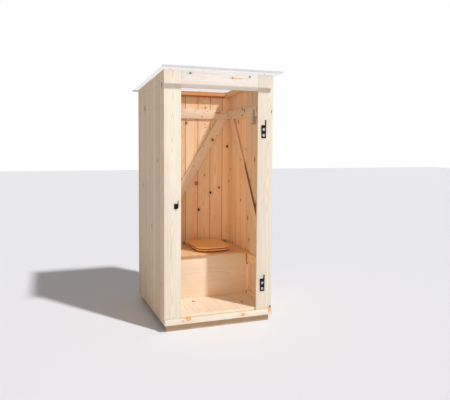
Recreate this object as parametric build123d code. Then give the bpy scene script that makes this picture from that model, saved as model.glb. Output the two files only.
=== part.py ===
from build123d import *
import math
import os

# All sizes are in millimetres. X runs to the right as the doorway is faced, Y runs to the rear
# and Z runs up. The pieces are built with y = 0 on the outer face of the front boards.

# Cabin
cabin_width = 1012.0
cabin_depth = 1096.0
front_height = 2250.0
roof_drop = 72.0
board_thick = 20.0

# Base and floor
bearer_height = 62.0
bearer_depth = 70.0
bearer_set_back = 14.0
frame_height = 49.0
joist_width = 45.0
joist_gap = 0.5
sill_out = 23.0
floor_thick = 22.0

# Doorway
front_board_width = 150.0
header_height = 149.0

# Rails and braces inside
rail_height = 95.0
ledger_drop = 255.0
top_rail_width = 60.0
top_rail_height = 45.0
brace_width = 95.0
side_brace_foot = 22.0
side_brace_short = 237.0
rear_brace_foot = 43.0
rear_brace_short = 202.0
floor_batten_height = 28.0

# Bench
bench_depth = 591.0
bench_top = 560.0
bench_thick = 18.0
bench_nose = 20.0
bench_side_gap = 6.0
panel_thick = 12.0
post_width = 30.0
post_depth = 40.0
bracket_width = 40.0
bracket_foot = 72.0
bracket_leg = 18.0
bracket_thick = 3.0
bracket_from_wall = 21.0
bracket_middle = -30.0

# Toilet seat
seat_x = 146.0
seat_set_back = 56.0
seat_length = 465.0
seat_width = 350.0
seat_front_radius = 110.0
seat_rear_radius = 60.0
seat_edge_round = 4.0
seat_under_round = 1.5
ring_thick = 15.0
lid_thick = 15.0
lid_gap = 10.0
pad_height = 12.0
pad_radius = 8.0
pad_from_front = 110.0
pad_from_rear = 70.0
pad_from_side = 34.0
ring_inset = 5.0
hole_width = 222.0
hole_length = 282.0
hole_from_front = 212.0
bench_hole_margin = 12.0

# Seat hinge
hinge_behind = 14.0
hinge_spacing = 160.0
pin_radius = 4.0
pin_clearance = 0.08
knuckle_radius = 8.0
knuckle_length = 18.0
lug_thick = 8.0
lug_gap = 1.0
post_base = 26.0
leaf_thick = 2.5
leaf_length = 46.0
strap_overlap = 40.0
post_foot_thick = 3.0
post_foot_front = 12.0
post_foot_rear = 16.0
lid_pad_gap = 0.5

# Roof
roof_thick = 10.0
roof_front_overhang = 120.0
roof_rear_overhang = 90.0
roof_side_overhang = 40.0
trim_depth = 25.0
trim_wall = 1.5

# Door fittings left on the front boards
plate_thick = 4.0
pintle_from_edge = 92.0
pintle_width = 45.0
pintle_height = 116.0
pintle_low = 282.0
pintle_drop = 566.0
pin_rod_radius = 6.5
pin_stand_off = 40.0
pin_rise = 45.0
pin_bend = 11.0
pin_tip = 2.0
rod_below_top = 8.0
bolt_radius = 8.0
bolt_head = 5.0
bolt_low = 25.0
bolt_high = 77.0
catch_from_edge = 87.0
catch_width = 32.0
catch_bottom = 1069.0
catch_height = 45.0
catch_fin = 5.0
catch_reach = 28.0
catch_neck = 18.0
catch_lip = 8.0
catch_rise = 30.0

# Steel strap on the right ledger
strap_width = 36.0
strap_below_ledger = 80.0
strap_above = 65.0
strap_front = 329.0
strap_thick = 3.0

# Derived sizes
half_width = cabin_width / 2
rear_height = front_height - roof_drop
header_bottom = front_height - header_height
ledger_top = front_height - ledger_drop
side_brace_run = cabin_depth - side_brace_short
rear_brace_run = cabin_width - rear_brace_short
inner_half = half_width - board_thick
inner_rear = cabin_depth - board_thick
frame_top = bearer_height + frame_height
floor_top = frame_top + floor_thick
rail_top = bench_top - bench_thick
rail_bottom = rail_top - rail_height
ledger_bottom = ledger_top - rail_height
door_half = half_width - front_board_width
bench_front = inner_rear - bench_depth
seat_front = bench_front - bench_nose + seat_set_back
roof_fall = (front_height - rear_height) / cabin_depth
roof_length = cabin_depth + roof_front_overhang + roof_rear_overhang
centre_shift = -roof_length / 2 + roof_front_overhang
ring_bottom = bench_top + pad_height
ring_top = ring_bottom + ring_thick
lid_bottom = ring_top + lid_gap
hinge_y = seat_front + seat_length + hinge_behind
hinge_z = ring_top + lid_gap / 2
seat_centre_y = seat_front + hole_from_front


def block(x0, x1, y0, y1, z0, z1):
    """A square timber or plate between two corners."""
    size = Box(x1 - x0, y1 - y0, z1 - z0)
    return Pos((x0 + x1) / 2, (y0 + y1) / 2, (z0 + z1) / 2) * size


def both_sides(shape):
    """The shape and its mirror image on the other side of the cabin."""
    return [shape, mirror(shape, about=Plane.YZ)]


def roof_line(y):
    """Height of the roof's underside at a distance behind the front."""
    return front_height - roof_fall * y


def side_cut(points, x0, x1):
    """A piece drawn in side view and carried from x0 to x1."""
    face = Plane.YZ * make_face(Polyline(*points, close=True))
    return Pos(x0, 0, 0) * extrude(face, amount=x1 - x0)


def front_cut(points, y0, y1):
    """A piece drawn in front view and carried from y0 to y1."""
    face = Plane.XZ * make_face(Polyline(*points, close=True))
    return Pos(0, y1, 0) * extrude(face, amount=y1 - y0)


def under_roof(x0, x1, y0, y1, z0):
    """An upright piece whose top follows the slope of the roof."""
    points = [(y0, z0), (y1, z0), (y1, roof_line(y1)), (y0, roof_line(y0))]
    return side_cut(points, x0, x1)


# Base

def bearers():
    """Two cross timbers that carry the cabin on the ground."""
    front_end = bearer_set_back + bearer_depth
    front = block(-inner_half, inner_half, bearer_set_back, front_end, 0, bearer_height)
    rear = block(-inner_half, inner_half, inner_rear - bearer_depth, inner_rear, 0, bearer_height)
    return front, rear


def joists():
    """The frame under the floor: front, rear, one at each side and one across the middle."""
    front_end = board_thick + joist_width
    rear_start = inner_rear - joist_width
    front = block(-inner_half, inner_half, board_thick, front_end, bearer_height, frame_top)
    rear = block(-inner_half, inner_half, rear_start, inner_rear, bearer_height, frame_top)
    start = front_end + joist_gap
    end = rear_start - joist_gap
    side = block(inner_half - joist_width, inner_half, start, end, bearer_height, frame_top)
    reach = inner_half - joist_width - joist_gap
    centre = (start + end) / 2
    half = joist_width / 2
    middle = block(-reach, reach, centre - half, centre + half, bearer_height, frame_top)
    return front, rear, Compound(children=both_sides(side) + [middle])


def floor():
    """Floor boards as one slab between the walls."""
    return block(-inner_half, inner_half, board_thick, inner_rear, frame_top, floor_top)


def sill():
    """Threshold timber under the front boards."""
    return block(-half_width, half_width, -sill_out, board_thick, bearer_height, frame_top)


# Walls

def front_board():
    """Right-hand front board; the left one is its mirror image."""
    return under_roof(door_half, half_width, 0, board_thick, frame_top)


def header():
    """Board over the doorway."""
    return under_roof(-door_half, door_half, 0, board_thick, header_bottom)


def side_wall():
    """Right-hand wall."""
    return under_roof(inner_half, half_width, board_thick, inner_rear, bearer_height)


def rear_wall():
    """Rear wall, over the ends of the side walls."""
    return under_roof(-half_width, half_width, inner_rear, cabin_depth, bearer_height)


# Rails and braces

def hung_rail(x0, x1, y0, y1):
    """A rail under the roof, its top and bottom on the roof's slope."""
    low0 = roof_line(y0) - top_rail_height
    low1 = roof_line(y1) - top_rail_height
    points = [(y0, low0), (y1, low1), (y1, roof_line(y1)), (y0, roof_line(y0))]
    return side_cut(points, x0, x1)


def top_rails():
    """The four rails that carry the roof: front, rear and one side."""
    inner = inner_half - top_rail_width
    front = hung_rail(-inner, inner, board_thick, board_thick + top_rail_width)
    rear = hung_rail(-inner, inner, inner_rear - top_rail_width, inner_rear)
    side = hung_rail(inner, inner_half, board_thick, inner_rear)
    return front, rear, side


def rear_rail(z0, z1):
    """A flat board across the inside of the rear wall."""
    return block(-inner_half, inner_half, inner_rear - board_thick, inner_rear, z0, z1)


def side_rail(z0, z1):
    """A flat board along the inside of the right-hand wall."""
    rear_end = inner_rear - board_thick
    return block(inner_half - board_thick, inner_half, board_thick, rear_end, z0, z1)


def leaning_board(foot, run, z0, z1):
    """Corners of a brace that leans by run between two heights, cut level at both ends."""
    rise = z1 - z0
    level_width = brace_width * math.hypot(rise, run) / rise
    return [(foot, z0), (foot + level_width, z0), (foot + run + level_width, z1), (foot + run, z1)]


def side_brace():
    """Brace from the front of the low rail to the rear of the ledger, right-hand wall."""
    points = leaning_board(side_brace_foot, side_brace_run, rail_top, ledger_bottom)
    return side_cut(points, inner_half - board_thick, inner_half)


def rear_brace():
    """Brace across the rear wall from low left to high right."""
    foot = rear_brace_foot - half_width
    points = leaning_board(foot, rear_brace_run, bench_top, ledger_bottom)
    return front_cut(points, inner_rear - board_thick, inner_rear)


def floor_battens():
    """Battens along the foot of the side walls in front of the bench."""
    inner = inner_half - board_thick
    top = floor_top + floor_batten_height
    return Compound(children=both_sides(block(inner, inner_half, board_thick, bench_front, floor_top, top)))


# Bench

def hole_outline(margin):
    """Long round opening of the seat, widened by a margin."""
    width = hole_width + 2 * margin
    length = hole_length + 2 * margin
    return Pos(seat_x, seat_centre_y) * SlotOverall(length, width, rotation=90)


def bench_board():
    """Bench top with its opening under the seat."""
    half = inner_half - bench_side_gap
    board = block(-half, half, bench_front - bench_nose, inner_rear, rail_top, bench_top)
    hole = Pos(0, 0, rail_top) * extrude(hole_outline(bench_hole_margin), amount=bench_thick)
    return board - hole


def bench_panel():
    """Front of the bench, between its posts."""
    half = inner_half - post_width
    return block(-half, half, bench_front, bench_front + panel_thick, floor_top, rail_top)


def bench_posts():
    """Short posts on the side walls, at the ends of the bench front."""
    inner = inner_half - post_width
    post = block(inner, inner_half, bench_front, bench_front + post_depth, floor_top, rail_bottom)
    return Compound(children=both_sides(post))


def bench_brackets():
    """Steel angles at the rear of the bench top: one near the middle, one at the right end."""
    side = inner_half - bracket_from_wall - bracket_width / 2
    front = inner_rear - bracket_foot
    top = bench_top + bracket_leg
    parts = []
    for x in (bracket_middle, side):
        x0 = x - bracket_width / 2
        x1 = x + bracket_width / 2
        foot = block(x0, x1, front, inner_rear, bench_top, bench_top + bracket_thick)
        wall_leg = block(x0, x1, inner_rear - bracket_thick, inner_rear, bench_top, top)
        parts.append(foot + wall_leg)
    return Compound(children=parts)


# Toilet seat

def seat_outline(inset):
    """Outline of ring and lid: broad round front, squarer rear."""
    half = seat_width / 2 - inset
    length = seat_length - 2 * inset
    slab = Rectangle(2 * half, length)
    slab = fillet(slab.vertices().sort_by(Axis.Y)[:2], seat_front_radius - inset)
    slab = fillet(slab.vertices().sort_by(Axis.Y)[-2:], seat_rear_radius - inset)
    return Pos(seat_x, seat_front + seat_length / 2) * slab


def rounded_slab(inset, z0, thick):
    """A slab with the seat's outline, a rolled top edge and an eased lower edge."""
    slab = Pos(0, 0, z0) * extrude(seat_outline(inset), amount=thick)
    slab = fillet(slab.edges().group_by(Axis.Z)[-1], seat_edge_round)
    return chamfer(slab.edges().group_by(Axis.Z)[0], seat_under_round)


def pads(z0, height, ys):
    """Rubber pads at both sides of the seat, at some distances behind the front."""
    side = seat_width / 2 - pad_from_side
    parts = []
    for y in ys:
        for x in (seat_x - side, seat_x + side):
            parts.append(Pos(x, y, z0 + height / 2) * Cylinder(pad_radius, height))
    return Compound(children=parts)


def seat_ring():
    """Fixed seat ring with its opening, rolled at the rim."""
    ring = rounded_slab(ring_inset, ring_bottom, ring_thick)
    ring = ring - Pos(0, 0, ring_bottom) * extrude(hole_outline(0), amount=ring_thick)
    in_hole = ring.edges().filter_by_position(Axis.X, seat_x - hole_width / 2, seat_x + hole_width / 2)
    top = ring_bottom + ring_thick
    rim = in_hole.filter_by_position(Axis.Z, top - 0.1, top + 0.1)
    near = seat_centre_y - hole_length / 2 - 1
    far = seat_centre_y + hole_length / 2 + 1
    return fillet(rim.filter_by_position(Axis.Y, near, far), seat_edge_round)


def seat_pads():
    """Four pads under the ring."""
    ys = (seat_front + pad_from_front, seat_front + seat_length - pad_from_rear)
    return pads(bench_top, pad_height, ys)


def seat_lid():
    """Lid over the ring."""
    return rounded_slab(0, lid_bottom, lid_thick)


def lid_pads():
    """Two pads under the lid that keep it off the ring."""
    height = lid_gap - lid_pad_gap
    return pads(ring_top + lid_pad_gap, height, (seat_front + pad_from_front,))


def cross_pin(x0, x1, radius):
    """A round piece along the hinge axis, from x0 to x1."""
    rod = Rot(0, 90, 0) * Cylinder(radius, abs(x1 - x0))
    return Pos((x0 + x1) / 2, hinge_y, hinge_z) * rod


def hinge_posts():
    """Two posts on the bench, each with a pin that points away from the other."""
    parts = []
    for side in (-1, 1):
        x = seat_x + side * hinge_spacing / 2
        half = lug_thick / 2
        foot = block(x - post_base / 2, x + post_base / 2, hinge_y - post_foot_front,
                     hinge_y + post_foot_rear, bench_top, bench_top + post_foot_thick)
        stem = block(x - half, x + half, hinge_y - knuckle_radius, hinge_y + knuckle_radius,
                     bench_top, hinge_z)
        head = cross_pin(x - half, x + half, knuckle_radius)
        pin = cross_pin(x, x + side * (half + lug_gap + knuckle_length), pin_radius)
        parts.append(foot + stem + head + pin)
    return Compound(children=parts)


def lid_hinges():
    """Knuckles on the pins, each with a leaf under the rear of the lid."""
    parts = []
    for side in (-1, 1):
        near = seat_x + side * (hinge_spacing / 2 + lug_thick / 2 + lug_gap)
        far = near + side * knuckle_length
        leaf = block(min(near, far), max(near, far), hinge_y - hinge_behind - leaf_length, hinge_y,
                     lid_bottom - leaf_thick, lid_bottom)
        bore = cross_pin(near, far, pin_radius + pin_clearance)
        parts.append(cross_pin(near, far, knuckle_radius) + leaf - bore)
    return Compound(children=parts)


def ring_straps():
    """Straps under the ring that tie it to the hinge posts."""
    front = seat_front + seat_length - strap_overlap
    rear = hinge_y - knuckle_radius
    parts = []
    for side in (-1, 1):
        x = seat_x + side * hinge_spacing / 2
        parts.append(block(x - lug_thick / 2, x + lug_thick / 2, front, rear,
                           ring_bottom - leaf_thick, ring_bottom))
    return Compound(children=parts)


# Fittings on the front

def bolt(x, z, y):
    """Hexagon bolt head on a plate that faces the front."""
    head = Rot(90, 0, 0) * extrude(RegularPolygon(bolt_radius, 6), amount=bolt_head)
    return Pos(x, y, z) * head


def pin_rod(x, z):
    """Round bar that comes forward from the plate and turns up into the hinge pin."""
    top = z + rod_below_top + pin_rise
    path = FilletPolyline((x, 0, z), (x, -pin_stand_off, z), (x, -pin_stand_off, top), radius=pin_bend)
    rod = sweep(Plane.XZ * Pos(x, z) * Circle(pin_rod_radius), path=path)
    return chamfer(rod.edges().group_by(Axis.Z)[-1], pin_tip)


def pintle(bottom):
    """Lift-off hinge pin: a plate with two bolts and a bent rod that stands up in front."""
    x = half_width - pintle_from_edge
    top = bottom + pintle_height
    body = block(x - pintle_width / 2, x + pintle_width / 2, -plate_thick, 0, bottom, top)
    body = body + pin_rod(x, top - rod_below_top)
    for height in (bolt_low, bolt_high):
        body = body + bolt(x, bottom + height, -plate_thick)
    return body


def latch_catch():
    """Catch plate with a fin at its edge that ends in an upturned hook."""
    left = catch_from_edge - half_width
    right = left + catch_width
    top = catch_bottom + catch_height
    neck = top - catch_neck
    plate = block(left, right, -plate_thick, 0, catch_bottom, top)
    tip = top + catch_rise
    outline = [(0, neck - catch_neck), (-catch_reach + catch_lip, neck - catch_neck),
               (-catch_reach, neck), (-catch_reach, tip - catch_lip),
               (-catch_reach + catch_lip, tip), (-catch_reach + catch_lip, neck), (0, neck)]
    return plate + side_cut(outline, right - catch_fin, right)


def ledger_strap():
    """Flat steel strap screwed to the right ledger, its lower end free."""
    face = inner_half - board_thick
    return block(face - strap_thick, face, strap_front, strap_front + strap_width,
                 ledger_bottom - strap_below_ledger, ledger_bottom + strap_above)


# Roof

def roof_slab(x0, x1, y0, y1, low, high):
    """A sloping slab between two heights over the roof's underside."""
    points = [(y0, roof_line(y0) + low), (y1, roof_line(y1) + low),
              (y1, roof_line(y1) + high), (y0, roof_line(y0) + high)]
    return side_cut(points, x0, x1)


def roof_sheet():
    """Clear flat sheet that falls to the rear."""
    half = half_width + roof_side_overhang - trim_wall
    y0 = -roof_front_overhang + trim_wall
    y1 = cabin_depth + roof_rear_overhang - trim_wall
    return roof_slab(-half, half, y0, y1, 0, roof_thick)


def edge_profile(y_edge, inward):
    """Capping profile along the front or rear edge of the sheet."""
    half = half_width + roof_side_overhang
    y_in = y_edge + inward * trim_depth
    y_web = y_edge + inward * trim_wall
    low = min(y_edge, y_in)
    high = max(y_edge, y_in)
    upper = roof_slab(-half, half, low, high, roof_thick, roof_thick + trim_wall)
    lower = roof_slab(-half, half, low, high, -trim_wall, 0)
    web = roof_slab(-half, half, min(y_edge, y_web), max(y_edge, y_web), -trim_wall, roof_thick + trim_wall)
    return upper + lower + web


def roof_trims():
    """Capping profiles at the front and rear of the sheet."""
    front = edge_profile(-roof_front_overhang, 1)
    rear = edge_profile(cabin_depth + roof_rear_overhang, -1)
    return Compound(children=[front, rear])


def main():
    """Build every piece and write one file per node."""
    front_bearer, rear_bearer = bearers()
    front_joist, rear_joist, floor_joists = joists()
    front_rail, rear_top, side_top = top_rails()
    board = front_board()
    wall = side_wall()
    ledger = side_rail(ledger_bottom, ledger_top)
    low_rail = side_rail(rail_bottom, rail_top)
    brace = side_brace()
    nodes = {
        "front_bearer": front_bearer,
        "rear_bearer": rear_bearer,
        "front_joist": front_joist,
        "rear_joist": rear_joist,
        "floor_joists": floor_joists,
        "floor": floor(),
        "sill": sill(),
        "right_front_board": board,
        "left_front_board": mirror(board, about=Plane.YZ),
        "header": header(),
        "right_wall": wall,
        "left_wall": mirror(wall, about=Plane.YZ),
        "rear_wall": rear_wall(),
        "front_top_rail": front_rail,
        "rear_top_rail": rear_top,
        "right_top_rail": side_top,
        "left_top_rail": mirror(side_top, about=Plane.YZ),
        "rear_ledger": rear_rail(ledger_bottom, ledger_top),
        "right_ledger": ledger,
        "left_ledger": mirror(ledger, about=Plane.YZ),
        "rear_low_rail": rear_rail(rail_bottom, rail_top),
        "right_low_rail": low_rail,
        "left_low_rail": mirror(low_rail, about=Plane.YZ),
        "rear_brace": rear_brace(),
        "right_brace": brace,
        "left_brace": mirror(brace, about=Plane.YZ),
        "floor_battens": floor_battens(),
        "bench_top": bench_board(),
        "bench_front": bench_panel(),
        "bench_posts": bench_posts(),
        "bench_brackets": bench_brackets(),
        "seat_ring": seat_ring(),
        "seat_pads": seat_pads(),
        "ring_straps": ring_straps(),
        "hinge_posts": hinge_posts(),
        "seat_lid": seat_lid(),
        "lid_pads": lid_pads(),
        "lid_hinges": lid_hinges(),
        "lower_hinge_pin": pintle(pintle_low),
        "upper_hinge_pin": pintle(front_height - pintle_drop),
        "latch_catch": latch_catch(),
        "ledger_strap": ledger_strap(),
        "roof_sheet": roof_sheet(),
        "roof_trims": roof_trims(),
    }
    os.makedirs("parts", exist_ok=True)
    place = Pos(0, centre_shift, 0)
    for name, shape in nodes.items():
        export_step(place * shape, f"parts/{name}.step")


main()
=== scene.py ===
"""Dressed model of a timber privy cabin: boards, grain, knots, fittings, seat, clear roof and studio."""
import logging
import math
import random
from dataclasses import dataclass, replace
from enum import Enum
from itertools import pairwise
from typing import Callable, Mapping, Sequence

import bpy
from mathutils import Matrix, Vector


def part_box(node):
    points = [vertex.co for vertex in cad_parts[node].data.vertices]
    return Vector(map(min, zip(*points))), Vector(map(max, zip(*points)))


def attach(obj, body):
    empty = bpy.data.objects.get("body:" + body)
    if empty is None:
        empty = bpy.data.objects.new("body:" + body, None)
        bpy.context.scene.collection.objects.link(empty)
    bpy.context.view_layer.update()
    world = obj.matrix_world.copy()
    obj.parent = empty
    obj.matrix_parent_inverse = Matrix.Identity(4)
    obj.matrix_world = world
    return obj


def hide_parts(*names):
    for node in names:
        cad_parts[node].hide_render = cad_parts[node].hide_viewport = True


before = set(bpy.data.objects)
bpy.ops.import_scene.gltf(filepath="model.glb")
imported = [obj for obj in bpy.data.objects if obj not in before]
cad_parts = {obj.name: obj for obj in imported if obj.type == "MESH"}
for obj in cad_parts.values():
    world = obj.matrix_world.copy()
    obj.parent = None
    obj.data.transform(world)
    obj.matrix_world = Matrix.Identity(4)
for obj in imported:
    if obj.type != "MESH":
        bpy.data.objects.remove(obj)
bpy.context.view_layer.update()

LOG = logging.getLogger("cabin")

Colour = tuple[float, float, float]
Point = tuple[float, float, float]
Socket = bpy.types.NodeSocket
Sockets = Mapping[str | int, Socket]
Inputs = Mapping[str | int, object]
Material = bpy.types.Material
Piece = bpy.types.Object

CABIN = "cabin"
SIDE = Vector((1.0, 0.0, 0.0))
DEPTH = Vector((0.0, 1.0, 0.0))
UP = Vector((0.0, 0.0, 1.0))
HALF_WIDTH = 0.506
FRONT_Y = -0.533
# From this share on, a face or an edge counts as facing a direction
FACING = 0.9
# Lengths below this are the same
NEAR = 1e-6
WHITE = (1.0, 1.0, 1.0)


def srgb(*parts: float) -> Colour:
    """Turn a colour as seen on a screen into the linear one that shaders take.

    Args:
        *parts: Red, green and blue from 0 to 255.

    Returns:
        The linear colour, each part from 0 to 1.
    """
    shares = [part / 255.0 for part in parts]
    return tuple(share / 12.92 if share <= 0.04045 else ((share + 0.055) / 1.055) ** 2.4 for share in shares)


# Shaping


class Part(Enum):
    """Parts of a mesh that can be picked."""

    POINT = "VERT"
    EDGE = "EDGE"
    FACE = "FACE"


class Shaper:
    """One mesh, worked with edit-mode tools on parts that are picked by place or direction."""

    sharp: float = math.radians(25.0)
    flat: float = math.radians(0.5)
    merge_gap: float = 1e-5

    def __init__(self, piece: Piece) -> None:
        """Take up a piece whose place is in its mesh."""
        self.piece = piece

    @staticmethod
    def deselect() -> None:
        """Leave edit mode and let go of everything."""
        if bpy.context.object and bpy.context.object.mode != "OBJECT":
            bpy.ops.object.mode_set(mode="OBJECT")
        bpy.ops.object.select_all(action="DESELECT")

    @classmethod
    def take(cls, name: str) -> "Shaper":
        """Name the primitive just added and put its place into its mesh.

        Args:
            name: The piece's name.

        Returns:
            The new piece.
        """
        piece = bpy.context.object
        piece.name = piece.data.name = name
        bpy.ops.object.transform_apply(location=True, rotation=True, scale=True)
        return cls(piece)

    @classmethod
    def cube(cls, name: str, low: Vector, high: Vector) -> "Shaper":
        """Start from a box between two corners.

        Args:
            name: The piece's name.
            low: Lowest corner in metres.
            high: Highest corner in metres.

        Returns:
            The new piece.
        """
        cls.deselect()
        bpy.ops.mesh.primitive_cube_add(size=1.0, location=(low + high) / 2, scale=high - low)
        return cls.take(name)

    @classmethod
    def rod(cls, name: str, foot: Vector, way: Vector, radius: float, length: float, sides: int) -> "Shaper":
        """Start from a round or many-sided bar.

        Args:
            name: The piece's name.
            foot: Middle of the end that it starts from.
            way: Unit vector along it.
            radius: Radius to its corners in metres.
            length: Length in metres.
            sides: Number of sides.

        Returns:
            The new piece.
        """
        cls.deselect()
        bpy.ops.mesh.primitive_cylinder_add(vertices=sides, radius=radius, depth=length,
                                            location=foot + way * (length / 2),
                                            rotation=UP.rotation_difference(way).to_euler())
        return cls.take(name)

    @classmethod
    def copy_of(cls, node: str, name: str) -> "Shaper":
        """Start from a merged copy of a solid of the frame, with its flat faces whole again.

        Args:
            node: The solid's node.
            name: The piece's name.

        Returns:
            The copy.
        """
        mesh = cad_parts[node].data.copy()
        mesh.name = name
        mesh.materials.clear()
        shaper = cls(bpy.data.objects.new(name, mesh))
        bpy.context.scene.collection.objects.link(shaper.piece)
        shaper.edit()
        bpy.ops.mesh.select_all(action="SELECT")
        bpy.ops.mesh.remove_doubles(threshold=cls.merge_gap)
        bpy.ops.mesh.dissolve_limited(angle_limit=cls.flat)
        shaper.done()
        return shaper

    def activate(self) -> None:
        """Select this piece alone and make it the active one."""
        self.deselect()
        self.piece.select_set(True)
        bpy.context.view_layer.objects.active = self.piece

    def edit(self, kind: Part = Part.POINT) -> None:
        """Enter edit mode on this piece alone.

        Args:
            kind: The kind of part to be picked there.
        """
        self.activate()
        bpy.context.tool_settings.mesh_select_mode = [kind is part for part in Part]
        bpy.ops.object.mode_set(mode="EDIT")

    def done(self) -> None:
        """Leave edit mode."""
        bpy.ops.object.mode_set(mode="OBJECT")

    def pick(self, kind: Part, test: Callable[..., bool]) -> None:
        """Pick the parts that pass a test and enter edit mode on them.

        Args:
            kind: The kind of part.
            test: Says if a part is wanted, from a point's place, an edge's two ends, or a face's middle and
                normal.
        """
        mesh = self.piece.data
        for group in (mesh.vertices, mesh.edges, mesh.polygons):
            group.foreach_set("select", [False] * len(group))
        if kind is Part.POINT:
            found = [(point, (point.co,)) for point in mesh.vertices]
        elif kind is Part.EDGE:
            found = [(edge, [mesh.vertices[i].co for i in edge.vertices]) for edge in mesh.edges]
        else:
            found = [(face, (face.center, face.normal)) for face in mesh.polygons]
        for part, places in found:
            part.select = test(*places)
        self.edit(kind)

    def ease(self, width: float, segments: int = 2) -> None:
        """Round every sharp edge.

        Args:
            width: Width of the rounding in metres.
            segments: Number of faces across it.
        """
        self.edit(Part.EDGE)
        bpy.ops.mesh.select_all(action="DESELECT")
        bpy.ops.mesh.edges_select_sharp(sharpness=self.sharp)
        bpy.ops.mesh.bevel(offset=width, segments=segments, affect="EDGES", clamp_overlap=True)
        self.done()

    def cut_above(self, point: Point, normal: Point) -> None:
        """Cut away all that lies beyond a plane and close the cut.

        Args:
            point: A point of the plane.
            normal: The plane's direction towards what goes.
        """
        self.edit(Part.FACE)
        bpy.ops.mesh.select_all(action="SELECT")
        bpy.ops.mesh.bisect(plane_co=point, plane_no=normal, use_fill=True, clear_outer=True)
        self.done()

    def smooth(self, degrees: float) -> None:
        """Shade smooth, keeping corners sharper than an angle."""
        self.activate()
        bpy.ops.object.shade_smooth_by_angle(angle=math.radians(degrees))

    def copy_at(self, offset: Vector) -> "Shaper":
        """Make a copy with its own mesh.

        Args:
            offset: How far the copy is moved.

        Returns:
            The copy.
        """
        piece = self.piece.copy()
        piece.data = self.piece.data.copy()
        piece.data.transform(Matrix.Translation(offset))
        bpy.context.scene.collection.objects.link(piece)
        return Shaper(piece)

    @staticmethod
    def join(parts: Sequence["Shaper"], name: str) -> "Shaper":
        """Join several pieces into one mesh.

        Args:
            parts: The pieces.
            name: The joined piece's name.

        Returns:
            The joined piece.
        """
        parts[0].activate()
        for part in parts:
            part.piece.select_set(True)
        if len(parts) > 1:
            bpy.ops.object.join()
        parts[0].piece.name = parts[0].piece.data.name = name
        return parts[0]

    def spread(self, places: Sequence[Point], name: str) -> "Shaper":
        """Copy this piece from the first place, where it stands, to every place.

        Args:
            places: Where the copies go.
            name: The name of all the copies as one piece.

        Returns:
            The copies, joined.
        """
        first = Vector(places[0])
        copies = [self.copy_at(Vector(place) - first) for place in places]
        bpy.data.objects.remove(self.piece)
        return Shaper.join(copies, name)

    def split_loose(self) -> list["Shaper"]:
        """Part the mesh into its separate bodies.

        Returns:
            The bodies from left to right.
        """
        self.activate()
        bpy.ops.mesh.separate(type="LOOSE")
        parts = [Shaper(piece) for piece in bpy.context.selected_objects]
        return sorted(parts, key=lambda part: tuple(round(value, 4) for value in part.middle()))

    def middle(self) -> Vector:
        """Middle of the piece's box."""
        low, high = self.reach(SIDE, DEPTH, UP)
        return (low + high) / 2

    def reach(self, *ways: Vector) -> tuple[Vector, Vector]:
        """Measure the piece along some directions.

        Args:
            *ways: The directions.

        Returns:
            The lowest and the highest value along each.
        """
        rows = [[point.co.dot(way) for point in self.piece.data.vertices] for way in ways]
        return Vector([min(row) for row in rows]), Vector([max(row) for row in rows])

    def mark_grain(self, along: Vector, through: Vector, board: float) -> None:
        """Write each point's place in its board, the board's half size and its number, for its finish.

        Args:
            along: Direction of the grain.
            through: Direction through the board.
            board: The board's number, from 0 to 1.
        """
        ways = (along.cross(through).normalized(), along.normalized(), through.normalized())
        low, high = self.reach(*ways)
        middle = (low + high) / 2
        mesh = self.piece.data
        places = [Vector([point.co.dot(way) for way in ways]) - middle for point in mesh.vertices]
        vectors = {"grain": [value for place in places for value in place],
                   "half": [*(high - low) / 2] * len(places)}
        for name, values in vectors.items():
            mesh.attributes.new(name, "FLOAT_VECTOR", "POINT").data.foreach_set("vector", values)
        mesh.attributes.new("board", "FLOAT", "POINT").data.foreach_set("value", [board] * len(places))


# Shader trees


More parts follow.
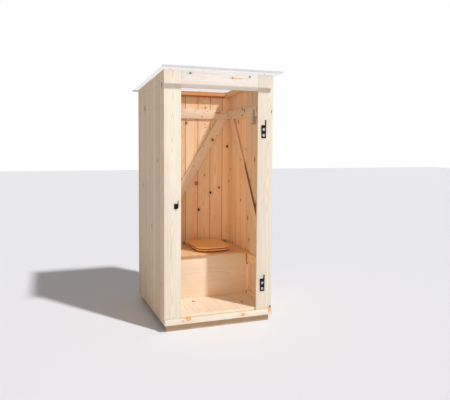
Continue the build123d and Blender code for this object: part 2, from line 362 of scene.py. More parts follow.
class Tree:
    """A node tree with short calls for the nodes that the finishes use."""

    def __init__(self, tree: bpy.types.NodeTree) -> None:
        """Take up a tree."""
        self.tree = tree

    def fill(self, node: bpy.types.Node, inputs: Inputs) -> None:
        """Link outputs to a node's inputs, or set the inputs to plain values.

        Args:
            node: The node.
            inputs: An output, number, vector or colour for each input, by its name or number.
        """
        for key, value in inputs.items():
            target = node.inputs[key]
            if isinstance(value, Socket):
                self.tree.links.new(value, target)
            else:
                target.default_value = (*value, 1.0) if target.type == "RGBA" else value

    def node(self, kind: str, inputs: Inputs | None = None, **settings: object) -> bpy.types.Node:
        """Add a node.

        Args:
            kind: Its type.
            inputs: What goes into its inputs, as in fill.
            **settings: Its properties.

        Returns:
            The node.
        """
        node = self.tree.nodes.new(kind)
        for key, value in settings.items():
            setattr(node, key, value)
        self.fill(node, inputs or {})
        return node

    def math(self, kind: str, *values: object, clamp: bool = False) -> Socket:
        """Give the result of a Math node on up to three values."""
        inputs = dict(enumerate(values))
        return self.node("ShaderNodeMath", inputs, operation=kind, use_clamp=clamp).outputs[0]

    def times(self, a: object, b: object) -> Socket:
        """Multiply two values."""
        return self.math("MULTIPLY", a, b)

    def plus(self, a: object, b: object) -> Socket:
        """Add two values."""
        return self.math("ADD", a, b)

    def line(self, value: object, slope: object, start: object) -> Socket:
        """Multiply a value by a slope and add a start."""
        return self.math("MULTIPLY_ADD", value, slope, start)

    def around(self, value: object, spread: float, middle: float = 0.0) -> Socket:
        """Spread a value that goes from 0 to 1 evenly round a middle."""
        return self.line(value, spread, middle - spread / 2)

    def vector(self, kind: str, *values: object) -> Sockets:
        """Give the outputs of a Vector Math node on one or two vectors."""
        return self.node("ShaderNodeVectorMath", dict(enumerate(values)), operation=kind).outputs

    def stretch(self, place: object, *factors: float) -> Socket:
        """Multiply a vector's three values, each by its own factor."""
        return self.vector("MULTIPLY", place, factors)[0]

    def lighten(self, colour: object, factor: object) -> Socket:
        """Make a colour lighter or darker by a factor that changes over the surface."""
        return self.node("ShaderNodeVectorMath", {0: colour, "Scale": factor}, operation="SCALE").outputs[0]

    def step(self, value: object, start: object, end: object, low: float = 0.0, high: float = 1.0) -> Socket:
        """Go smoothly from low to high as a value goes from start to end."""
        inputs = {"Value": value, "From Min": start, "From Max": end, "To Min": low, "To Max": high}
        return self.node("ShaderNodeMapRange", inputs, interpolation_type="SMOOTHSTEP").outputs[0]

    def fade(self, value: object, start: object, end: object) -> Socket:
        """Go smoothly from 1 to 0 as a value goes from start to end."""
        return self.step(value, start, end, 1.0, 0.0)

    def noise(self, place: object, scale: float = 1.0, detail: float = 2.0, rough: float = 0.5) -> Sockets:
        """Give the outputs of a Noise node at a place."""
        inputs = {"Vector": place, "Scale": scale, "Detail": detail, "Roughness": rough}
        return self.node("ShaderNodeTexNoise", inputs).outputs

    def chance(self, number: object) -> Sockets:
        """Draw a value and a colour that depend on a number alone."""
        return self.node("ShaderNodeTexWhiteNoise", {"W": number}, noise_dimensions="1D").outputs

    def split(self, vector: object) -> list[Socket]:
        """Part a vector into its three values."""
        return list(self.node("ShaderNodeSeparateXYZ", {0: vector}).outputs)

    def mix(self, factor: object, a: object, b: object, blend: str = "MIX") -> Socket:
        """Blend two colours by a factor."""
        settings = {"data_type": "RGBA", "blend_type": blend, "clamp_factor": True}
        return self.node("ShaderNodeMix", {0: factor, 6: a, 7: b}, **settings).outputs[2]

    def attribute(self, name: str) -> Sockets:
        """Read a value that is written on the mesh."""
        return self.node("ShaderNodeAttribute", attribute_type="GEOMETRY", attribute_name=name).outputs


class Skin(Tree):
    """The tree of a new material."""

    def __init__(self, name: str) -> None:
        """Make the material.

        Args:
            name: The material's name.
        """
        self.material = bpy.data.materials.new(name)
        self.material.use_nodes = True
        super().__init__(self.material.node_tree)
        self.shader = self.tree.nodes["Principled BSDF"]

    def place(self) -> Socket:
        """The piece's own coordinates."""
        return self.node("ShaderNodeTexCoord").outputs["Object"]

    def paint(self, inputs: Inputs) -> Material:
        """Fill the main shader's inputs and give the material."""
        self.fill(self.shader, inputs)
        return self.material

    def bump(self, height: Socket, strength: float, distance: float) -> Socket:
        """Give a normal that follows a height."""
        inputs = {"Strength": strength, "Distance": distance, "Height": height}
        return self.node("ShaderNodeBump", inputs).outputs[0]


@dataclass
class Effect:
    """A node group built once and used by several finishes; its outputs are numbers."""

    name: str
    vectors: Sequence[str]
    numbers: Sequence[str]
    outputs: Sequence[str]
    build: Callable[[Tree, Sockets], Sequence[Socket]]

    def group(self) -> bpy.types.NodeTree:
        """Build the group at its first use.

        Returns:
            The group's tree.
        """
        if self.name in bpy.data.node_groups:
            return bpy.data.node_groups[self.name]
        tree = bpy.data.node_groups.new(self.name, "ShaderNodeTree")
        for way, kind, names in (("INPUT", "Vector", self.vectors), ("INPUT", "Float", self.numbers),
                                 ("OUTPUT", "Float", self.outputs)):
            for name in names:
                tree.interface.new_socket(name=name, in_out=way, socket_type=f"NodeSocket{kind}")
        source = tree.nodes.new("NodeGroupInput")
        sink = tree.nodes.new("NodeGroupOutput")
        results = self.build(Tree(tree), {socket.name: socket for socket in source.outputs})
        for name, socket in zip(self.outputs, results):
            tree.links.new(socket, sink.inputs[name])
        return tree

    def place(self, tree: Tree, **values: object) -> Sockets:
        """Put the group into a material's tree, its inputs named with _ for a space, and give its outputs."""
        inputs = {name.replace("_", " "): value for name, value in values.items()}
        return tree.node("ShaderNodeGroup", inputs, node_tree=self.group()).outputs


def build_pine(tree: Tree, given: Sockets) -> Sequence[Socket]:
    """Growth rings cut by a board's faces, with fibre streaks and a slow change of tone.

    Args:
        tree: The group's tree.
        given: Its inputs.

    Returns:
        Its outputs.
    """
    grain = given["Grain"]
    luck = tree.chance(tree.line(given["Board"], 91.7, 3.1))["Color"]
    first, second, third = tree.split(luck)
    place = tree.vector("ADD", grain, tree.stretch(luck, 11.0, 17.0, 5.0))[0]
    x, _, z = tree.split(grain)
    drift_x, drift_z, _ = tree.split(tree.noise(tree.stretch(place, 3.0, 1.1, 3.0), 1.0, 1.5, 0.45)["Color"])
    x = tree.plus(tree.plus(x, tree.around(first, 0.10)), tree.around(drift_x, 0.06))
    z = tree.plus(tree.plus(z, tree.around(second, 0.05, 0.047)), tree.around(drift_z, 0.09))
    from_pith = tree.math("SQRT", tree.plus(tree.times(x, x), tree.times(z, z)))
    ripple = tree.around(tree.noise(tree.stretch(place, 42.0, 5.0, 42.0))[0], 0.0024)
    from_pith = tree.plus(tree.plus(from_pith, ripple), given["Bend"])
    years = tree.math("DIVIDE", from_pith, given["Ring Width"])
    season = tree.math("FRACT", years)
    yearly = tree.chance(tree.math("FLOOR", years))["Value"]
    late = tree.times(tree.step(season, 0.40, 0.90), tree.fade(season, 0.94, 1.0))
    late = tree.times(late, tree.line(yearly, 0.55, 0.45))
    slow = {"W": from_pith, "Scale": 85.0, "Detail": 1.0}
    bands = tree.node("ShaderNodeTexNoise", slow, noise_dimensions="1D").outputs[0]
    fibre = tree.noise(tree.stretch(place, 620.0, 9.0, 620.0), 1.0, 2.0, 0.6)[0]
    cloud = tree.noise(tree.stretch(place, 9.0, 1.3, 9.0), 1.0, 2.0, 0.55)[0]
    heart_edge = tree.around(third, 0.050, 0.035)
    heart = tree.fade(from_pith, heart_edge, tree.plus(heart_edge, 0.016))
    return late, bands, fibre, cloud, third, heart


def build_knot(tree: Tree, given: Sockets) -> Sequence[Socket]:
    """One knot that runs through a board, with the swirl of rings that goes round it.

    Args:
        tree: The group's tree.
        given: Its inputs.

    Returns:
        Its outputs.
    """
    size = given["Radius"]
    gap = tree.vector("SUBTRACT", given["Place"], given["Centre"])[0]
    across = tree.math("DIVIDE", tree.vector("DOT_PRODUCT", gap, given["Across"])[1], size)
    along = tree.vector("DOT_PRODUCT", gap, given["Along"])[1]
    along = tree.math("DIVIDE", along, tree.times(size, given["Stretch"]))
    squared = tree.plus(tree.times(across, across), tree.times(along, along))
    reach = tree.plus(tree.math("SQRT", squared), tree.around(tree.noise(given["Place"], 75.0)[0], 0.45))
    core = tree.fade(reach, 0.82, 1.12)
    halo = tree.math("EXPONENT", tree.times(squared, -0.22))
    bend = tree.times(tree.math("EXPONENT", tree.times(squared, -0.13)), tree.times(size, 1.35))
    rings = tree.line(tree.math("SINE", tree.times(reach, 21.0)), 0.5, 0.5)
    return core, halo, bend, reach, rings


def build_edges(tree: Tree, given: Sockets) -> Sequence[Socket]:
    """Masks along a board's arrises and along its two long sides.

    Args:
        tree: The group's tree.
        given: Its inputs.

    Returns:
        Its outputs.
    """
    inside = tree.vector("ABSOLUTE", given["Grain"])[0]
    a, b, c = tree.split(tree.vector("SUBTRACT", given["Half"], inside)[0])
    second = tree.math("MINIMUM", tree.math("MAXIMUM", a, b), c)
    second = tree.math("MAXIMUM", tree.math("MINIMUM", a, b), second)
    rough = tree.noise(given["Grain"], 60.0, 3.0, 0.6)[0]
    edge = tree.times(tree.fade(second, 0.0, given["Width"]), tree.step(rough, 0.30, 0.65))
    return edge, tree.fade(a, 0.0, given["Joint"])


def build_wane(tree: Tree, given: Sockets) -> Sequence[Socket]:
    """Painted shadow on one narrow side of a board, thin at first and broader towards its foot.

    Args:
        tree: The group's tree.
        given: Its inputs.

    Returns:
        Its output.
    """
    x, y, z = tree.split(given["Grain"])
    half_x, half_y, half_z = tree.split(given["Half"])
    rough = tree.around(tree.noise(given["Grain"], 34.0, 3.0, 0.6)[0], 1.0)
    gap = tree.line(rough, 0.006, tree.plus(half_x, x))
    depth = tree.math("DIVIDE", tree.math("SUBTRACT", half_z, z), tree.times(half_z, 2.0))
    depth = tree.line(rough, 0.5, depth)
    share = tree.times(tree.step(tree.math("DIVIDE", y, half_y), given["Start"], given["End"]), 1.3)
    painted_edge_shadow = tree.fade(tree.math("SUBTRACT", depth, share), -0.12, 0.08)
    return (tree.times(tree.fade(gap, 0.0015, 0.0045), painted_edge_shadow),)


def build_dust(tree: Tree, given: Sockets) -> Sequence[Socket]:
    """A broken film of dust that thins out upwards, and finer specks.

    Args:
        tree: The group's tree.
        given: Its inputs.

    Returns:
        Its outputs.
    """
    low = tree.fade(tree.split(given["Place"])[2], 0.0, given["Height"])
    film = tree.times(low, tree.step(tree.noise(given["Place"], 14.0, 4.0, 0.62)[0], 0.38, 0.66))
    return film, tree.step(tree.noise(given["Place"], 420.0, 2.0, 0.7)[0], 0.60, 0.72)


def build_metal(tree: Tree, given: Sockets) -> Sequence[Socket]:
    """Cloudy spangle, fine scratches and a coarse cast of a metal or paint surface.

    Args:
        tree: The group's tree.
        given: Its inputs.

    Returns:
        Its outputs.
    """
    place = given["Place"]
    flakes = tree.node("ShaderNodeTexVoronoi", {"Vector": place, "Scale": 130.0}, feature="F1")
    spangle = tree.split(flakes.outputs["Color"])[0]
    scratch = tree.step(tree.noise(tree.stretch(place, 160.0, 160.0, 1400.0), 1.0, 1.0)[0], 0.60, 0.72)
    return spangle, tree.noise(place, 32.0, 3.0, 0.6)[0], scratch, tree.noise(place, 900.0)[0]


PINE_GRAIN = Effect("pine grain", ("Grain",), ("Board", "Ring Width", "Bend"),
                    ("Late", "Bands", "Fibre", "Cloud", "Luck", "Heart"), build_pine)
KNOT = Effect("knot", ("Place", "Centre", "Across", "Along"), ("Radius", "Stretch"),
              ("Core", "Halo", "Bend", "Reach", "Rings"), build_knot)
# The Joint mask darkens joints between boards, and on the rear roof rail and the braces it carries painted
# shade.
EDGE_WEAR_AND_SHADE = Effect("edge wear and joint shade", ("Grain", "Half"), ("Width", "Joint"), ("Edge", "Joint"), build_edges)
EDGE_SHADOW = Effect("edge shadow", ("Grain", "Half"), ("Start", "End"), ("Bark",), build_wane)
DUST = Effect("dust", ("Place",), ("Height",), ("Film", "Specks"), build_dust)
METAL_SKIN = Effect("metal skin", ("Place",), (), ("Spangle", "Cloud", "Scratch", "Texture"), build_metal)


# Finishes


class KnotKind(Enum):
    """Kinds of knot, each with the colour of its rings and of its heart."""

    LIVE = (srgb(172, 100, 54), srgb(118, 60, 30))
    DEAD = (srgb(70, 42, 28), srgb(30, 18, 14))
    FAINT = (srgb(226, 160, 98), srgb(196, 120, 66))
    PALE = (srgb(238, 186, 140), srgb(216, 150, 104))
    RESIN = (srgb(228, 130, 52), srgb(206, 96, 30))
    RED = (srgb(204, 136, 98), srgb(160, 92, 66))


LIVE, DEAD, FAINT, PALE, RESIN, RED = KnotKind


@dataclass(frozen=True)
class Knot:
    """One knot at a place on a board's face."""

    place: Point
    radius: float
    kind: KnotKind
    stretch: float


@dataclass(frozen=True)
class Face:
    """A flat face of timber across one axis (0, 1 or 2) at a level along it."""

    axis: int
    level: float

    def knots(self, *rows: tuple[float, float, float, KnotKind, float]) -> tuple[Knot, ...]:
        """Set knots on this face.

        Args:
            *rows: Two coordinates in the face, the radius, the kind and the stretch of each knot.

        Returns:
            The knots.
        """
        knots = []
        for first, second, radius, kind, stretch in rows:
            place = [first, second]
            place.insert(self.axis, self.level)
            knots.append(Knot(tuple(place), radius, kind, stretch))
        return tuple(knots)


@dataclass(frozen=True)
class EdgeShadow:
    """Painted shadow on a board's narrow side, between two places along it, from -1 at its foot to 1 at its
    top.
    """

    start: float
    end: float
    colour: Colour = srgb(150, 98, 62)


@dataclass(frozen=True)
class Source:
    """Where a finish reads the grain from: the mesh's own marks, or the piece's place round a centre."""

    centre: Vector | None = None
    half: Vector | None = None
    board: float = 0.5

    def sockets(self, skin: Skin) -> tuple[object, object, object]:
        """Give the grain's vector, the half size and the board's number.

        Args:
            skin: The material's tree.

        Returns:
            Outputs or values for the three.
        """
        if self.centre is None:
            return (skin.attribute("grain")["Vector"], skin.attribute("half")["Vector"],
                    skin.attribute("board")["Fac"])
        inputs = {"Vector": skin.place(), "Location": self.centre}
        return skin.node("ShaderNodeMapping", inputs, vector_type="TEXTURE").outputs[0], self.half, self.board


@dataclass(frozen=True)
class PineFinish:
    """Planed softwood, bare or lacquered."""

    early: Colour
    late: Colour
    ring_width: float = 0.0042
    figure: float = 0.75
    bands: float = 0.30
    tone: float = 0.16
    roughness: float = 0.60
    coat: float = 0.0
    coat_roughness: float = 0.18
    gloss: float = 0.35
    joint_shade: float = 0.0
    joint_width: float = 0.004
    joint_tint: Colour = (0.60, 0.34, 0.17)
    edge_shade: float = 0.25
    edge_width: float = 0.004
    edge_tint: Colour = (0.80, 0.72, 0.62)
    heart: float = 0.40
    heart_tint: Colour = (1.0, 0.80, 0.66)
    knot_halo: float = 0.42
    knot_rings: float = 0.35
    dust_height: float = 0.0
    dust_share: float = 0.55
    dust_colour: Colour = srgb(186, 180, 168)
    bump: float = 0.25
    relief: float = 0.0006

    def dress(self, name: str, knots: Sequence[Knot] = (), along: Vector = UP, across: Vector = SIDE,
              wane: EdgeShadow | None = None, source: Source = Source()) -> Material:
        """Make the finish for one piece.

        Args:
            name: The material's name.
            knots: The knots on this piece.
            along: Direction of the grain, for the knots.
            across: Direction across the grain on the face, for the knots.
            wane: Painted shadow on one narrow side, if there is any.
            source: Where it reads the grain from.

        Returns:
            The material.
        """
        skin = Skin(name)
        grain, half, board = source.sockets(skin)
        place = skin.place()
        marks = []
        bend: object = 0.0
        for knot in knots:
            mark = KNOT.place(skin, Place=place, Centre=knot.place, Across=across, Along=along,
                              Radius=knot.radius, Stretch=knot.stretch)
            bend = skin.plus(bend, mark["Bend"])
            marks.append((mark, *knot.kind.value))
        pine = PINE_GRAIN.place(skin, Grain=grain, Board=board, Ring_Width=self.ring_width, Bend=bend)
        amount = skin.around(pine["Bands"], self.bands * 2, self.bands / 4)
        amount = skin.math("ADD", amount, skin.times(pine["Late"], self.figure), clamp=True)
        colour = skin.mix(amount, self.early, self.late)
        colour = self.shade(skin, colour, pine["Heart"], self.heart, self.heart_tint)
        colour = skin.lighten(colour, skin.step(pine["Fibre"], 0.25, 0.75, 0.93, 1.04))
        tone = skin.plus(skin.around(pine["Luck"], self.tone, 1.0), skin.around(pine["Cloud"], self.tone))
        colour = skin.lighten(colour, tone)
        for mark, ring, heart in marks:
            warm = skin.mix(0.5, self.late, ring)
            colour = skin.mix(skin.times(mark["Halo"], self.knot_halo), colour, warm)
            inner = skin.mix(skin.step(mark["Reach"], 0.15, 0.95), ring, heart)
            inner = skin.mix(skin.times(mark["Rings"], self.knot_rings), inner, heart)
            colour = skin.mix(mark["Core"], colour, inner)
        wear_and_shade = EDGE_WEAR_AND_SHADE.place(skin, Grain=grain, Half=half, Width=self.edge_width, Joint=self.joint_width)
        colour = self.shade(skin, colour, wear_and_shade["Joint"], self.joint_shade, self.joint_tint)
        colour = self.shade(skin, colour, wear_and_shade["Edge"], self.edge_shade, self.edge_tint)
        # A dark brown streak on one narrow side, as painted shadow.
        if wane:
            painted_edge_shadow = EDGE_SHADOW.place(skin, Grain=grain, Half=half, Start=wane.start, End=wane.end)["Bark"]
            shadow_tone = skin.lighten(wane.colour, skin.step(pine["Fibre"], 0.2, 0.8, 0.55, 1.35))
            colour = skin.mix(painted_edge_shadow, colour, shadow_tone)
        rough = skin.line(pine["Late"], -0.10, self.roughness + 0.04)
        if self.dust_height > 0.0:
            film = DUST.place(skin, Place=place, Height=self.dust_height)["Film"]
            colour = skin.mix(skin.times(film, self.dust_share), colour, self.dust_colour)
            rough = skin.math("ADD", rough, skin.times(film, 0.2), clamp=True)
        if self.coat > 0.0:
            skin.paint({"Coat Weight": self.coat, "Coat Roughness": self.coat_roughness})
        height = skin.plus(skin.times(pine["Late"], 0.5), pine["Fibre"])
        return skin.paint({"Base Color": colour, "Roughness": rough, "Specular IOR Level": self.gloss,
                           "Normal": skin.bump(height, self.bump, self.relief)})

    @staticmethod
    def shade(skin: Skin, colour: Socket, mask: Socket, share: float, tint: Colour) -> Socket:
        """Tint a colour where a mask is, by a share."""
        return skin.mix(skin.times(mask, share), colour, skin.mix(1.0, colour, tint, "MULTIPLY"))


class MetalLook(Enum):
    """Looks of the metal pieces: strength of the coarse cast, gloss, and what the colour follows."""

    BLACK = (0.35, 0.22, "Cloud")
    ZINC = (0.12, 0.5, "Spangle")
    BRIGHT = (0.12, 0.5, "Cloud")


@dataclass(frozen=True)
class MetalFinish:
    """Steel, powder coated, zinc plated or polished."""

    look: MetalLook
    colour: Colour
    second: Colour
    metallic: float
    roughness: float
    scratches: float = 0.25
    clouds: float = 0.16
    relief: float = 0.0002

    def dress(self, name: str) -> Material:
        """Make the finish.

        Args:
            name: The material's name.

        Returns:
            The material.
        """
        skin = Skin(name)
        metal = METAL_SKIN.place(skin, Place=skin.place())
        cast, gloss, pattern = self.look.value
        colour = skin.mix(metal[pattern], self.colour, self.second)
        colour = skin.mix(skin.times(metal["Scratch"], self.scratches), colour, self.second)
        rough = skin.around(metal["Cloud"], self.clouds, self.roughness)
        normal = skin.bump(metal["Texture"], cast, self.relief)
        return skin.paint({"Base Color": colour, "Metallic": self.metallic, "Specular IOR Level": gloss,
                           "Roughness": rough, "Normal": normal})


@dataclass(frozen=True)
class SheetFinish:
    """Clear or milky plastic of the roof, with a film of dust that the eye sees and that dims the light."""

    colour: Colour
    seen: float
    dimming: float
    roughness: float
    flutes: float = 0.0
    specks: float = 0.12
    speck_colour: Colour = srgb(190, 184, 170)

    def dress(self, name: str) -> Material:
        """Make the finish.

        Args:
            name: The material's name.

        Returns:
            The material.
        """
        skin = Skin(name)
        place = skin.place()
        cloud = skin.noise(place, 7.0, 4.0, 0.6)[0]
        tint = skin.mix(cloud, self.colour, tuple(part * 0.93 for part in self.colour))
        dust = DUST.place(skin, Place=place)
        tint = skin.mix(skin.times(dust["Specks"], self.specks), tint, self.speck_colour)
        eye = skin.node("ShaderNodeLightPath").outputs["Is Camera Ray"]
        film = skin.line(eye, self.seen - self.dimming, self.dimming)
        film = skin.times(film, skin.around(cloud, 0.4, 1.0))
        if self.flutes > 0.0:
            wave = skin.math("SINE", skin.times(skin.split(place)[0], math.pi / self.flutes))
            film = skin.plus(film, skin.step(skin.math("ABSOLUTE", wave), 0.0, 0.30, 0.05, 0.0))
        return skin.paint({"Base Color": tint, "Roughness": skin.line(cloud, 0.15, self.roughness),
                           "Alpha": skin.math("MINIMUM", film, 1.0)})


@dataclass(frozen=True)
class RubberFinish:
    """Pale matt rubber of the seat's pads."""

    colour: Colour = srgb(196, 190, 178)

    def dress(self, name: str) -> Material:
        """Make the finish.

        Args:
            name: The material's name.

        Returns:
            The material.
        """
        skin = Skin(name)
        cloud = skin.noise(skin.place(), 260.0, 3.0, 0.6)[0]
        colour = skin.mix(cloud, self.colour, tuple(part * 0.7 for part in self.colour))
        return skin.paint({"Base Color": colour, "Roughness": skin.line(cloud, 0.2, 0.65)})


FRONT_PINE = PineFinish(srgb(227, 224, 212), srgb(206, 190, 158), ring_width=0.0058, figure=0.68,
                        bands=0.28, edge_shade=0.35, heart=0.08)
HEADER_PINE = replace(FRONT_PINE, early=srgb(229, 229, 222), late=srgb(213, 203, 183), figure=0.5)
# OUTER_PINE and END_PINE: the outside faces and ends of the wall boards, greyer and darker than the front, as
# painted open shade.
OUTER_PINE = PineFinish(srgb(219, 202, 178), srgb(196, 171, 140), joint_shade=0.9, joint_width=0.006,
                        tone=0.20, heart=0.12)
END_PINE = replace(OUTER_PINE, joint_shade=0.0)
# WALL_PINE: the inside faces of the same boards, warmer and more orange than the outside, as painted warm
# shade of the closed cabin.
WALL_PINE = PineFinish(srgb(251, 229, 196), srgb(235, 184, 132), joint_shade=1.0, joint_width=0.006,
                       figure=0.85, bands=0.38, tone=0.22, heart=0.55)
# SIDE_WALL_PINE: paler than WALL_PINE, as painted light that lifts the side walls' shaded insides.
SIDE_WALL_PINE = replace(WALL_PINE, early=srgb(251, 234, 204), late=srgb(238, 192, 142))
RAIL_PINE = PineFinish(srgb(252, 236, 212), srgb(240, 207, 170), tone=0.14, heart=0.2, edge_shade=0.5)
# SIDE_RAIL_PINE: more orange than RAIL_PINE, as painted warm shade on the side rails.
SIDE_RAIL_PINE = replace(RAIL_PINE, early=srgb(249, 219, 175), late=srgb(234, 187, 134))
# BRACE_PINE: its joint shade darkens the braces' long sides and the face next to them, as painted shadow
# along the braces.
BRACE_PINE = PineFinish(srgb(252, 237, 216), srgb(242, 210, 176), tone=0.14, heart=0.2, joint_shade=0.65,
                        joint_width=0.003)
SIDE_BRACE_PINE = replace(BRACE_PINE, early=srgb(251, 232, 200), late=srgb(240, 194, 146))
# TOP_RAIL_PINE: orange and darker, with dark bands along its upper and lower edges, as painted shade on the
# rear roof rail.
TOP_RAIL_PINE = PineFinish(srgb(236, 184, 124), srgb(212, 146, 86), tone=0.14, heart=0.2, joint_shade=1.0,
                           joint_width=0.019)
FLOOR_PINE = PineFinish(srgb(248, 233, 210), srgb(235, 204, 169), joint_shade=0.75, joint_width=0.0016,
                        heart=0.15)
BASE_PINE = PineFinish(srgb(180, 163, 138), srgb(152, 131, 102), tone=0.2, dust_height=0.10, roughness=0.72)
BENCH_PINE = PineFinish(srgb(238, 202, 158), srgb(214, 160, 110), ring_width=0.0036)
NOSE_PINE = PineFinish(srgb(226, 178, 128), srgb(196, 138, 88), ring_width=0.0036)
PLY_FACE = PineFinish(srgb(246, 229, 204), srgb(233, 198, 160), ring_width=0.0085, figure=0.45, bands=0.35,
                      heart=0.1)
SEAT_LACQUER = PineFinish(srgb(252, 198, 124), srgb(228, 158, 84), ring_width=0.0045, coat=0.6,
                          roughness=0.40, heart=0.15, bump=0.08)
BLACK_STEEL = MetalFinish(MetalLook.BLACK, srgb(9, 9, 11), srgb(20, 20, 23), 0.0, 0.46)
ZINC_STEEL = MetalFinish(MetalLook.ZINC, srgb(172, 178, 188), srgb(138, 144, 154), 0.75, 0.40)
NAIL_STEEL = MetalFinish(MetalLook.ZINC, srgb(112, 104, 98), srgb(82, 74, 68), 0.6, 0.5)
BRIGHT_STEEL = MetalFinish(MetalLook.BRIGHT, srgb(240, 244, 250), srgb(222, 227, 234), 0.9, 0.18)
CLEAR_ROOF = SheetFinish(srgb(200, 200, 210), 0.13, 0.06, 0.16, flutes=0.010)
PALE_TRIM = SheetFinish(srgb(245, 247, 252), 0.62, 0.95, 0.34)
PAD_RUBBER = RubberFinish()


def settle(shaper: Shaper, material: Material, slot: str, *nodes: str) -> Piece:
    """Give a finished piece its material, its body and the nodes that it stands for.

    Args:
        shaper: The piece.
        material: Its finish.
        slot: Not used.
        *nodes: The frame's nodes that it replaces.

    Returns:
        The piece.
    """
    piece = shaper.piece
    piece.data.materials.clear()
    piece.data.materials.append(material)
    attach(piece, CABIN)
    if nodes:
        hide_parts(*nodes)
    LOG.info("%s built", piece.name)
    return piece


def repaint(material: Material, *nodes: str) -> None:
    """Give nodes that stay a better material in their own slots.

    Args:
        material: The material.
        *nodes: The nodes.
    """
    for node in nodes:
        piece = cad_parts[node]
        if not piece.material_slots:
            piece.data.materials.append(material)
        for place in piece.material_slots:
            place.material = material
        LOG.info("%s finished", node)


# Timber


@dataclass(frozen=True)
class RoofLine:
    """Underside of the roof, which falls from the front to the rear."""

    front_height: float = 2.250
    drop: float = 0.072
    depth: float = 1.096

    def height(self, y: float) -> float:
        """Height of the underside at a depth."""
        return self.front_height - self.drop / self.depth * (y - FRONT_Y)

    def plane(self) -> tuple[Point, Point]:
        """A point on the underside and the upward normal."""
        return (0.0, FRONT_Y, self.front_height), (0.0, self.drop / self.depth, 1.0)


ROOF_LINE = RoofLine()


@dataclass
class Timber:
    """A single planed timber in the place of a node, its arrises eased."""

    node: str
    slot: str
    finish: PineFinish
    along: Vector
    through: Vector
    knots: Sequence[Knot] = ()
    ease: float = 0.0022
    wane: EdgeShadow | None = None

    def build(self) -> list[Piece]:
        """Build one piece for each body of the node.

        Returns:
            The finished pieces.
        """
        parts = Shaper.copy_of(self.node, self.node + "_wood").split_loose()
        luck = random.Random(self.node)
        across = self.along.cross(self.through).normalized()
        pieces = []
        for number, part in enumerate(parts, 1):
            name = self.node + ("_wood" if len(parts) == 1 else f"_wood_{number}")
            part.piece.name = name
            part.ease(self.ease)
            part.mark_grain(self.along, self.through, luck.random())
            part.smooth(degrees=32.0)
            material = self.finish.dress(name, self.knots, self.along.normalized(), across, self.wane)
            pieces.append(settle(part, material, self.slot, self.node))
        return pieces


@dataclass
class BoardWall:
    """Boards side by side with a V joint between them, in the place of one slab."""

    node: str
    slot: str
    finish: PineFinish
    across: Vector
    through: Vector
    along: Vector
    joints: Sequence[float]
    knots: Sequence[Knot]
    groove: float = 0.0038
    outward: Vector | None = None
    inside_limit: float = -0.3
    fit_share: float = 1.5

    def build(self) -> None:
        """Model one board, copy it along the wall and fit each copy to its lines.

        A wall with an outside is also cut to the roof, and its outside and ends take a greyer finish that
        carries painted open shade.
        """
        low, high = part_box(self.node)
        start, end = low.dot(self.across), high.dot(self.across)
        spans = list(pairwise([start, *self.joints, end]))
        pitch = max(right - left for left, right in spans)
        name = self.node + "_boards"
        first = Shaper.cube(name, low, high - self.across * (end - start - pitch))
        self.chamfer(first)
        luck = random.Random(self.node)
        boards = []
        for left, right in spans:
            board = first.copy_at(self.across * (left - start))
            self.fit(board, left + pitch, right)
            if self.outward is not None:
                board.cut_above(*ROOF_LINE.plane())
            board.mark_grain(self.along, self.through, luck.random())
            boards.append(board)
        bpy.data.objects.remove(first.piece)
        wall = Shaper.join(boards, name)
        wall.smooth(degrees=20.0)
        inside = self.finish.dress(name, self.knots, self.along, self.across)
        piece = settle(wall, inside, self.slot, self.node)
        if self.outward is not None:
            self.paint_outside_shade(piece)

    def chamfer(self, board: Shaper) -> None:
        """Cut the chamfers that make the V joints along the four long edges.

        Args:
            board: The board.
        """
        board.pick(Part.EDGE, lambda a, b: abs((b - a).dot(self.along)) > FACING * (b - a).length)
        bpy.ops.mesh.bevel(offset=self.groove, segments=1, affect="EDGES")
        board.done()

    def fit(self, board: Shaper, reached: float, wanted: float) -> None:
        """Bring a copied board's far side to the line where it ends.

        Args:
            board: The board.
            reached: Where its far side is.
            wanted: Where it has to be.
        """
        if abs(reached - wanted) < NEAR:
            return
        limit = reached - self.groove * self.fit_share
        board.pick(Part.POINT, lambda place: place.dot(self.across) > limit)
        bpy.ops.transform.translate(value=self.across * (wanted - reached))
        board.done()

    def paint_outside_shade(self, piece: Piece) -> None:
        """Give the outside its greyer finish with painted open shade, and the wall's two ends the same
        without joints.

        Args:
            piece: The wall.
        """
        ends = END_PINE.dress(piece.name + "_ends", (), self.along, self.across)
        outside = OUTER_PINE.dress(piece.name + "_outside", self.knots, self.along, self.across)
        piece.data.materials.append(outside)
        piece.data.materials.append(ends)
        for face in piece.data.polygons:
            face.material_index = 1 if face.normal.dot(self.outward) > self.inside_limit else 0
            if abs(face.normal.dot(self.across)) > FACING:
                face.material_index = 2


def nail_pairs(lines: Sequence[float], heights: Sequence[float], inset: float) -> list[tuple[float, float]]:
    """Place two nails in each board at each height.

    Args:
        lines: Where the boards start and end.
        heights: The heights, or the depths on a floor.
        inset: Distance from a board's sides.

    Returns:
        The place across the boards and the height of each nail.
    """
    return [(at, height) for left, right in pairwise(lines) for height in heights
            for at in (left + inset, right - inset)]


@dataclass
class NailHeads:
    """Round nail heads, pressed in nearly flush with the timber."""

    name: str
    places: Sequence[Point]
    facing: Vector
    radius: float = 0.0035
    proud: float = 0.0006
    sunk: float = 0.0006
    rim_share: float = 0.35
    dome_share: float = 0.3
    sides: int = 10

    def build(self, material: Material) -> None:
        """Model one domed head and copy it to every place.

        Args:
            material: The finish of the heads.
        """
        first = Vector(self.places[0])
        head = Shaper.rod(self.name, first - self.facing * self.sunk, self.facing, self.radius,
                          self.proud + self.sunk, self.sides)
        head.pick(Part.FACE, lambda middle, normal: normal.dot(self.facing) > FACING)
        bpy.ops.mesh.inset(thickness=self.radius * self.rim_share, depth=self.proud * self.dome_share)
        head.done()
        heads = head.spread(self.places, self.name)
        heads.smooth(degrees=40.0)
        settle(heads, material, "zinc_steel")


